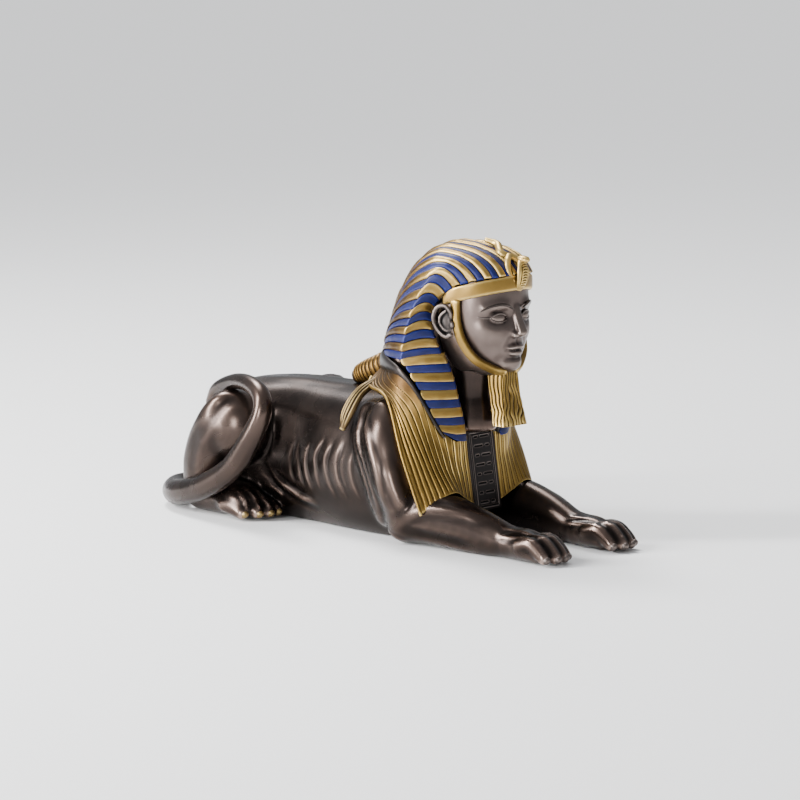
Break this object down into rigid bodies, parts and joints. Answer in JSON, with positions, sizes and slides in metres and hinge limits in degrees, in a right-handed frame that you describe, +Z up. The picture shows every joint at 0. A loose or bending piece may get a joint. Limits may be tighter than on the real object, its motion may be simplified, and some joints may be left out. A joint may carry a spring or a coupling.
{
  "type": "sphinx statue",
  "caption": "Recumbent sphinx statuette in patinated bronze resin, with a gold and blue striped headcloth, a gold fluted cape and the tail curled round the right haunch.",
  "frame": {"origin": "on the flat underside, in the ground plane, midway between the two sides of the body and near the middle of its length", "axes": "+Z up, -Y the way that the figure faces, -X its own right side"},
  "size_m": [0.1089, 0.2733, 0.1506],
  "materials": {
    "bronze": "dark brown bronze patina, rubbed to copper on the high places",
    "gold_paint": "antique gold paint with a dark wash in the grooves",
    "blue_paint": "deep blue semi-gloss paint"
  },
  "bodies": {
    "root": {"sphinx": "bronze"}
  },
  "joints": []
}
